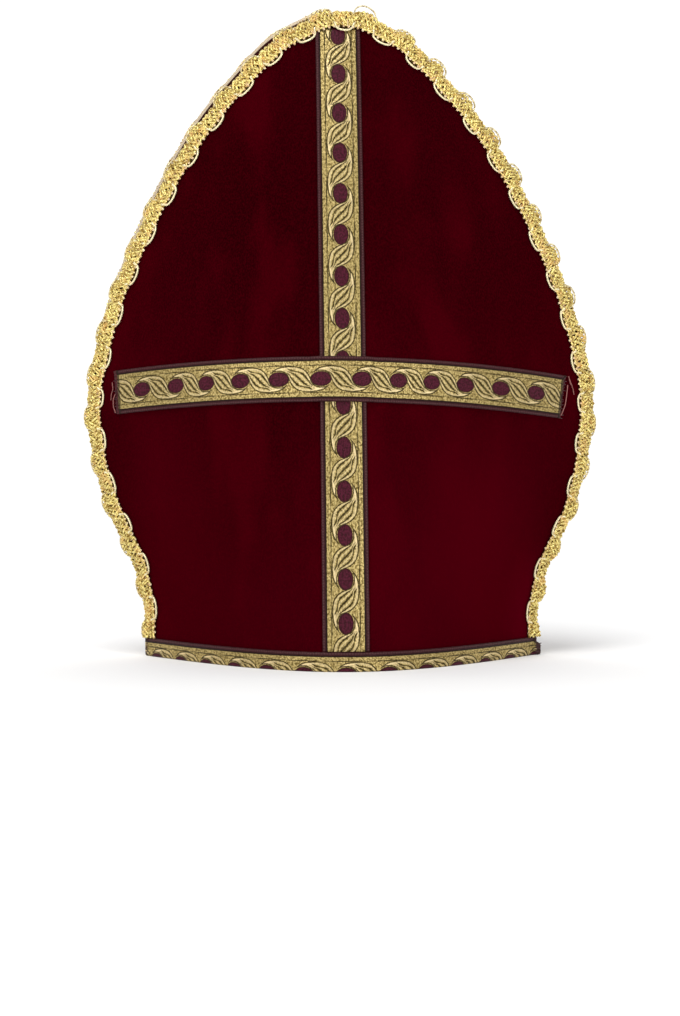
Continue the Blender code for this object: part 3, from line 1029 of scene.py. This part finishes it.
def add_plait(side, place, line, rng):
    distance = line.distance[None].repeat(PLAIT_THREADS, 0)
    length = distance.shape[1]
    knots = length // 14
    start = np.arange(PLAIT_THREADS)[:, None] / PLAIT_THREADS
    phase = 2 * math.pi * (distance / PLAIT_CYCLE + start)
    phase += 0.4 * smooth_noise(rng, PLAIT_THREADS, length, knots)
    swing = 0.6366 * np.arcsin(0.97 * np.cos(phase))
    outer, inner = braid_edges(distance, line, 0.9 if side == "front" else 0.2, 0.15)
    middle = (outer + inner) / 2
    u = middle + (inner - middle) * swing / 0.85
    outermost = ((1 - swing) / 2) ** 2
    filled = np.maximum(scallop_wave(distance), 0) ** FILL_ROUNDNESS
    swell = line.read(distance, line.swell)
    sewn = 1 - line.read(distance, line.free)
    u += 0.3 * MM * smooth_noise(rng, PLAIT_THREADS, length, length // 5)
    over = np.cos(PLAIT_THREADS / 2 * phase + math.pi / 4) * np.clip(3 * np.sin(phase), -1, 1)
    lift = GAP + 0.35 * MM + PLAIT_RADIUS + 0.55 * MM * over
    lift += 0.3 * MM * smooth_noise(rng, PLAIT_THREADS, length, length // 4)
    lift += sewn * outermost * ((BRAID_SCALLOP + swell) * filled + swell)
    radius = PLAIT_RADIUS * (1 + 0.25 * smooth_noise(rng, PLAIT_THREADS, length, length // 5))
    tone = rng.uniform(0, 1, PLAIT_THREADS)
    return braid_tubes(
        "plait", side, place, line, distance, u, lift, radius, GOLD, tone, f"{side}_braid"
    )


def add_weft(side, place, line, rng):
    """The crossing thread, whose turns are the small teeth along both edges."""
    span = line.distance[-1]
    turns = int(2 * span / WEFT_PITCH)
    theta = np.linspace(0, turns * 2 * math.pi, turns * WEFT_STEPS)[None]
    length = theta.shape[1]
    distance = theta / (2 * math.pi) * WEFT_PITCH - span
    distance += 0.5 * MM * smooth_noise(rng, 1, length, turns)
    distance = np.clip(distance, -span, span)
    outer, inner = braid_edges(distance, line, 0.5, 0.15)
    teeth = 0.35 * MM * smooth_noise(rng, 1, length, turns)
    swing = 0.5 + 0.5 * np.cos(theta)
    u = (outer - 0.25 * MM) + (inner - outer + 1.6 * MM + teeth) * swing
    lift = GAP + 0.25 * MM + WEFT_RADIUS + 0.5 * MM * swing ** 4
    radius = np.full(distance.shape, WEFT_RADIUS)
    tone = rng.uniform(0, 1, 1)
    return braid_tubes("weft", side, place, line, distance, u, lift, radius, WEFT, tone)


def add_cord(side, place, line, rng):
    """The smooth cords that rim the scallops: a loop for each, whose ends run into the plait."""
    span = line.distance[-1]
    low, high = (crept(np.array([-span, span])) - FIRST_SCALLOP) / BRAID_REPEAT
    outers = FIRST_SCALLOP + BRAID_REPEAT * np.arange(math.ceil(low), math.floor(high) + 1)
    centre = np.r_[outers, outers + BRAID_REPEAT / 2, outers[0] - BRAID_REPEAT / 2][:, None]
    centre = np.interp(centre, crept(line.distance), line.distance, left=-2 * span, right=2 * span)
    way = np.r_[-np.ones(len(outers)), np.ones(len(outers) + 1)][:, None]
    inside = np.abs(centre[:, 0]) < span - 3 * MM
    centre, way = centre[inside], way[inside]
    count = len(centre)
    turn = np.linspace(-LOOP_OVERRUN, math.pi + LOOP_OVERRUN, LOOP_POINTS)[None]
    rise = np.sin(turn)
    sunk = np.maximum(-rise, 0)
    wide = LOOP_HALF_LENGTH + 0.4 * MM * rng.uniform(-1, 1, (count, 1))
    turned = np.where(sunk > 0, np.sign(np.cos(turn)), np.cos(turn))
    distance = centre + 0.7 * MM * rng.uniform(-1, 1, (count, 1)) - wide * turned * (1 + 0.3 * sunk)
    loose = (np.abs(centre - FIRST_SCALLOP) < 1 * MM) & (side == "front")
    distance = np.clip(distance - LOOSE_LOOP * loose, -span, span)
    outer, inner = braid_edges(distance, line, 0, 0)
    free = line.read(distance, line.free)
    flat = 1.0 if side == "front" else BACK_FLATNESS
    high = LOOP_HEIGHT + 0.3 * MM * rng.uniform(-1, 1, (count, 1))
    high = high + np.where(way > 0, INNER_LOOP_EXTRA, 0)
    arc = np.maximum(rise, 0) ** 0.8
    out = ((high + line.read(distance, line.swell)) * flat + LOOSE_LOOP * loose) * arc
    deep = LOOP_SINK * sunk
    u = np.where(way < 0, outer - np.maximum(free, 0.25) * out + deep, inner + high * arc - deep)
    lift = GAP + CORD_RADIUS + 0.25 * MM + 0.2 * MM * arc
    lift = lift + LOOP_OVER * np.sin(np.clip(sunk / 0.5, 0, 1) * math.pi)
    lift = lift + np.where(way < 0, 0.85 * (1 - free) * out + 0.9 * MM * free * arc, 0)
    share = np.where(loose, 0.7, np.where(way < 0, 0.8, 1.0))
    radius = np.broadcast_to(CORD_RADIUS * share, distance.shape)
    tone = np.where(way[:, 0] < 0, 0.0, 0.9)
    return braid_tubes("cord", side, place, line, distance, u, lift, radius, CORD, tone)


def add_backing(side, place, line):
    """The tape that the plait is worked on: painted dark on its face, as the shade in the gaps between
    the threads, and cream on its reverse.
    """
    distance = line.distance
    outer, inner = braid_edges(distance, line, 0, 0.75)
    outer = outer * 0.85 if side == "front" else outer - 0.6 * MM * line.free
    inner = inner - 0.2 * MM
    rings, cloths = [], []
    for which, lift, face_up in ((-1, 0.4, 1.0), (-1, 0.0, 0.0), (1, 0.0, 0.0), (1, 0.4, 1.0)):
        u = outer if which < 0 else inner
        points, _ = line.places(distance, u, GAP + lift * MM + ribbon_under(distance, line))
        rings.append(points)
        cloths.append(np.stack([distance / MM, np.full(len(distance), face_up), u / MM], -1))
    rings, cloth = place(np.stack(rings, 1)), np.stack(cloths, 1)
    return add_grid(f"{side}_backing", rings, BACKING, cloth, capped=False)


# Threads pulled out at the bar's ends: four places along each, on the panel's face, in millimetres
PULLED_THREADS = (
    # (right of the middle, height, lift)
    ((129.5, 160.9, 1.0), (131.1, 157.2, 0.9), (132.7, 153.4, 0.8), (133.5, 150.6, 0.4)),
    ((129.5, 160.9, 1.2), (130.2, 158.2, 1.1), (130.9, 156.6, 0.9), (132.2, 156.0, 0.4)),
    ((128.9, 155.9, 1.1), (128.1, 150.3, 1.3), (126.9, 144.2, 1.5), (124.6, 138.4, 1.0)),
    ((-130.4, 157.2, 0.9), (-130.0, 153.4, 0.8), (-131.0, 150.7, 0.7), (-131.5, 147.1, 0.4)),
    ((-128.1, 150.6, 1.5), (-129.4, 147.7, 1.3), (-129.4, 143.4, 1.3), (-128.1, 139.9, 1.2)),
)
PULLED_RADIUS = 0.3 * MM
FRAY_RADIUS = 0.2 * MM
FRAY_POINTS = 6

# The fringes at the ends of the cross bar, and at the rim ribbon's
FRINGES_OF_BAR = (
    # end, way, reach in millimetres, slant, threads
    (0, -1, 1.2, 0.0, 14),
    (1, 1, 1.4, 0.09, 14),
)
FRINGES_OF_RIM = (
    # way, reach in millimetres, threads
    (-1, 0.8, 16),
    (1, 4.6, 40),
)
BAR_FRINGE_INSET = 3.4 * MM

# How far the threads of the rim ribbon's right end reach out, as shares of the longest
FRAY_REACH = (
    # height in millimetres, share
    (1.2, 0.8),
    (2.4, 0.6),
    (4.4, 0.7),
    (6.2, 1.0),
    (7.2, 0.3),
    (8.4, 0.2),
    (10.0, 0.3),
)


def add_thread_set(name, side, place, paths, radius, finish, rng):
    normals = np.broadcast_to(np.array([0.0, -1.0, 0.0]), paths.shape)
    if side == "back":
        normals = -normals
    count, length, _ = paths.shape
    radius, tone = np.full((count, length), radius), rng.uniform(0, 1, count)
    return add_tubes(f"{side}_{name}", place(paths), normals, radius, finish, tone)


def add_loose_threads(side, place, rng):
    """Pulled threads, and the fringes where the ribbons are cut."""
    spots = np.array(PULLED_THREADS) * MM
    steps = np.linspace(0, 3, 16)
    bent = np.array([[np.interp(steps, range(4), values) for values in one.T] for one in spots])
    bent = bent.transpose(0, 2, 1)
    bent[:, 1:-1] = (bent[:, :-2] + 2 * bent[:, 1:-1] + bent[:, 2:]) / 4
    pulled = on_face(bent[..., 0], bent[..., 1], bent[..., 2])
    threads = add_thread_set("pulled_threads", side, place, pulled, PULLED_RADIUS, LOOSE, rng)

    fringes = []
    out = np.linspace(0, 1, FRAY_POINTS)
    left, right = bar_ends()
    for end, way, reach, slant, count in FRINGES_OF_BAR:
        x = (left, right - BAR_FRINGE_INSET)[end]
        middle = BAR_HEIGHT - BAR_DROOP + x * math.tan(BAR_TILT)
        for across in np.linspace(-11.5, 11.5, count):
            begin = x + (slant * across - way * 1.2) * MM
            reached = reach * rng.uniform(0.2, 1.2) + 1.2
            height = middle + (across + out * rng.uniform(-0.7, 0.7)) * MM
            x_out = begin + out * way * reached * MM
            fringes.append(on_face(x_out, height, GAP + (0.6 - 0.3 * out) * MM))
    rim_edge = lifted(np.array([1.0]), 5 * MM, GAP + 0.6 * MM)[0]
    for way, reach, count in FRINGES_OF_RIM:
        for height in np.linspace(1.2, RIM_OUTER_FLAP / MM - 0.3, count):
            share = read_table(FRAY_REACH, height)[0] if way > 0 else 1.0
            reached = reach * rng.uniform(0.5, 1.05) * share + 1.5
            fall = rng.uniform(-1.4, 0.6) * out**2
            begin = rim_edge * (way, 1, 1) - (way * 1.5 * MM, rng.uniform(0, 1.2) * MM, 0)
            path = begin + np.stack([way * reached * out, 0 * out, 0 * out], -1) * MM
            path[:, 2] = np.maximum(height + fall, 0.4) * MM
            path[:, 1] = np.minimum(path[:, 1], -GAP / 2 - FRAY_RADIUS)
            fringes.append(path)
    return threads, add_thread_set("fringes", side, place, np.array(fringes), FRAY_RADIUS, FRAY, rng)


SEAM_THREAD_RADIUS = 0.5 * MM
SEAM_THREAD_INSET = 1.1 * MM


def add_side_seams(rng):
    """The thread that closes the gap where the two horns are sewn together at the sides."""
    z = np.linspace(RIBBON_THICKNESS + GAP, SEAM_HEIGHT + 1 * MM, 160)
    x = half_width(z) - SEAM_THREAD_INSET
    paths = np.stack([np.stack([side * x, 0 * z, z], -1) for side in (-1, 1)])
    normals = np.broadcast_to(np.array([1.0, 0.0, 0.0]), paths.shape)
    radius = np.full(paths.shape[:2], SEAM_THREAD_RADIUS)
    return add_tubes("side_seams", paths, normals, radius, FRAY, rng.uniform(0, 1, 2))


def gusset_seam(z, side):
    point, inward, normal = edge_frame(z, side)
    depth = PANEL_THICKNESS + GAP + GUSSET_THICKNESS / 2
    return point + inward * GUSSET_INSET - normal * depth


def add_gusset():
    """Lining cloth sewn inside both edges, folded down into a soft valley between the horns."""
    trial = np.arange(SEAM_HEIGHT, PEAK_HEIGHT, 1 * MM)
    low = trial[np.argmax(-gusset_seam(trial, 1.0)[:, 1] >= GUSSET_END_DEPTH)]
    heights = spaced(low, PEAK_HEIGHT, GUSSET_ROW)
    z = np.r_[heights, heights[-2::-1]]
    side = np.r_[-np.ones(len(heights)), np.ones(len(heights) - 1)]
    front = gusset_seam(z, side)
    back = to_back(front)
    middle = (front + back) / 2
    open_share = -front[:, 1] / -gusset_seam(np.array([PEAK_HEIGHT]), 1.0)[0, 1]
    base = gusset_seam(np.array([low]), 1.0)[0, 2]
    valley = np.stack(
        [
            middle[:, 0] * (1 - VALLEY_WIDTH_SHARE * open_share),
            middle[:, 1],
            base + (middle[:, 2] - base) * (1 - VALLEY_HEIGHT_SHARE * open_share),
        ],
        -1,
    )
    q = np.linspace(-1, 1, GUSSET_COLUMNS)[None, :, None]
    sewn = np.where(q > 0, back[:, None], front[:, None])
    points = valley[:, None] + (sewn - valley[:, None]) * np.abs(q) ** VALLEY_SHARPNESS
    points[..., 1] = (valley[:, None] + (sewn - valley[:, None]) * np.abs(q))[..., 1]
    piece = add_grid(
        "gusset_cloth", points, LINING, stands_for="gusset", closed=False, capped=False
    )
    solid = piece.modifiers.new("thickness", "SOLIDIFY")
    solid.thickness = GUSSET_THICKNESS
    solid.offset = 0
    return piece


# The camera stood level with the brow, a little left of the mitre's middle
CAMERA_AZIMUTH = math.radians(-1.5)
CAMERA_DISTANCE = 1191 * MM
CAMERA_HEIGHT = 119 * MM
CAMERA_ASIDE = -0.6 * MM
CAMERA_LENS = 72.9
CAMERA_SHIFT = -0.0576


def add_camera():
    data = bpy.data.cameras.new("camera")
    data.lens = CAMERA_LENS
    data.sensor_width = 36
    data.shift_y = CAMERA_SHIFT
    data.clip_start = 0.01
    camera = add_object("camera", data)
    camera.rotation_euler = (math.pi / 2, 0, CAMERA_AZIMUTH)
    right = Vector((math.cos(CAMERA_AZIMUTH), math.sin(CAMERA_AZIMUTH), 0))
    ahead = Vector((-math.sin(CAMERA_AZIMUTH), math.cos(CAMERA_AZIMUTH), 0))
    camera.location = right * CAMERA_ASIDE - ahead * CAMERA_DISTANCE + Vector((0, 0, CAMERA_HEIGHT))
    bpy.context.scene.camera = camera


SOFTBOXES = (
    # name, place, size, watts
    ("key", (-0.8, -1.2, 0.5), 0.5, 4),
    ("fill", (0.7, -1.1, 0.3), 0.4, 3.5),
)
SUN_TURN = (math.radians(24), math.radians(-10), 0)
SUN_STRENGTH = 1.65
SUN_ANGLE = math.radians(30)
WORLD_FRONT = 0.32
WORLD_BEHIND = 1.12
FLOOR_REACH = 30


def aimed(place, target):
    return (Vector(target) - Vector(place)).to_track_quat("-Z", "Y").to_euler()


def add_light(name, kind, place, turn, energy, size):
    data = bpy.data.lights.new(name, kind)
    data.energy = energy
    if kind == "AREA":
        data.size = size
    else:
        data.angle = size
    light = add_object(name, data)
    light.location = place
    light.rotation_euler = turn


def add_lights():
    """A soft overhead light, two softboxes, and a room that is white behind and greyer in front."""
    for name, place, size, watts in SOFTBOXES:
        add_light(name, "AREA", place, aimed(place, (0, 0, 0.1)), watts, size)
    add_light("overhead", "SUN", (0, 0, 2), SUN_TURN, SUN_STRENGTH, SUN_ANGLE)
    world = bpy.data.worlds.new("studio")
    world.use_nodes = True
    nodes, links = world.node_tree.nodes, world.node_tree.links
    split = nodes.new("ShaderNodeSeparateXYZ")
    links.new(nodes.new("ShaderNodeTexCoord").outputs["Generated"], split.inputs[0])
    behind = nodes.new("ShaderNodeMapRange")
    behind.interpolation_type = "SMOOTHSTEP"
    links.new(split.outputs["Y"], behind.inputs[0])
    for socket, value in enumerate((-0.1, 0.4, WORLD_FRONT, WORLD_BEHIND), 1):
        behind.inputs[socket].default_value = value
    links.new(behind.outputs[0], nodes["Background"].inputs[1])
    nodes["Background"].inputs[0].default_value = (1, 1, 1, 1)
    bpy.context.scene.world = world


def add_floor():
    mesh = bpy.data.meshes.new("floor")
    corners = [(x * FLOOR_REACH, y * FLOOR_REACH, 0) for x, y in ((-1, -1), (1, -1), (1, 1), (-1, 1))]
    mesh.from_pydata(corners, [], [(0, 1, 2, 3)])
    floor = add_object("floor", mesh)
    made = Finish("pale_floor")
    made.set(Base_Color=(0.93, 0.93, 0.93, 1), Roughness=0.9, Specular_IOR_Level=0.1)
    mesh.materials.append(made.material)


# What each cloth was cut to: the two sides of the piece it comes from, and its area, in metres
FLAT_SIZES = {
    # piece: (width, length), area
    "velvet": ((0.336, 0.371), 0.094),
    "upright": ((RIBBON_WIDTH, 0.351), None),
    "cross_bar": ((RIBBON_WIDTH, 0.286), None),
    "rim_band": ((RIBBON_WIDTH, 0.299), None),
    "gusset_cloth": ((0.172, 0.520), 0.0303),
}


def declare_sheet(piece, kind, held, **more):
    flat, area = FLAT_SIZES[kind]
    if area is not None:
        more["area"] = area


def main():
    line = EdgeLine(PLAIT_STEP)
    for side, place in PLACES:
        rng = np.random.default_rng(7 if side == "front" else 8)
        panel = add_panel(side, place)
        upright = add_upright(side, place)
        bar = add_bar(side, place)
        rim = add_rim(side, place)
        braid = [
            add_plait(side, place, line, rng),
            add_weft(side, place, line, rng),
            add_cord(side, place, line, rng),
            add_backing(side, place, line),
        ]
        pulled, fringes = add_loose_threads(side, place, rng)
        declare_sheet(panel, "velvet", "stretched", with_pieces=braid)
        declare_sheet(upright, "upright", "stretched", rests_on=[panel])
        declare_sheet(bar, "cross_bar", "stretched", rests_on=[panel, upright], with_pieces=[pulled])
        declare_sheet(rim, "rim_band", "folded", rests_on=[panel], with_pieces=[fringes])
    add_side_seams(np.random.default_rng(9))
    declare_sheet(add_gusset(), "gusset_cloth", "folded")
    add_camera()
    add_lights()
    add_floor()
    bpy.context.scene.view_settings.view_transform = "Standard"


main()
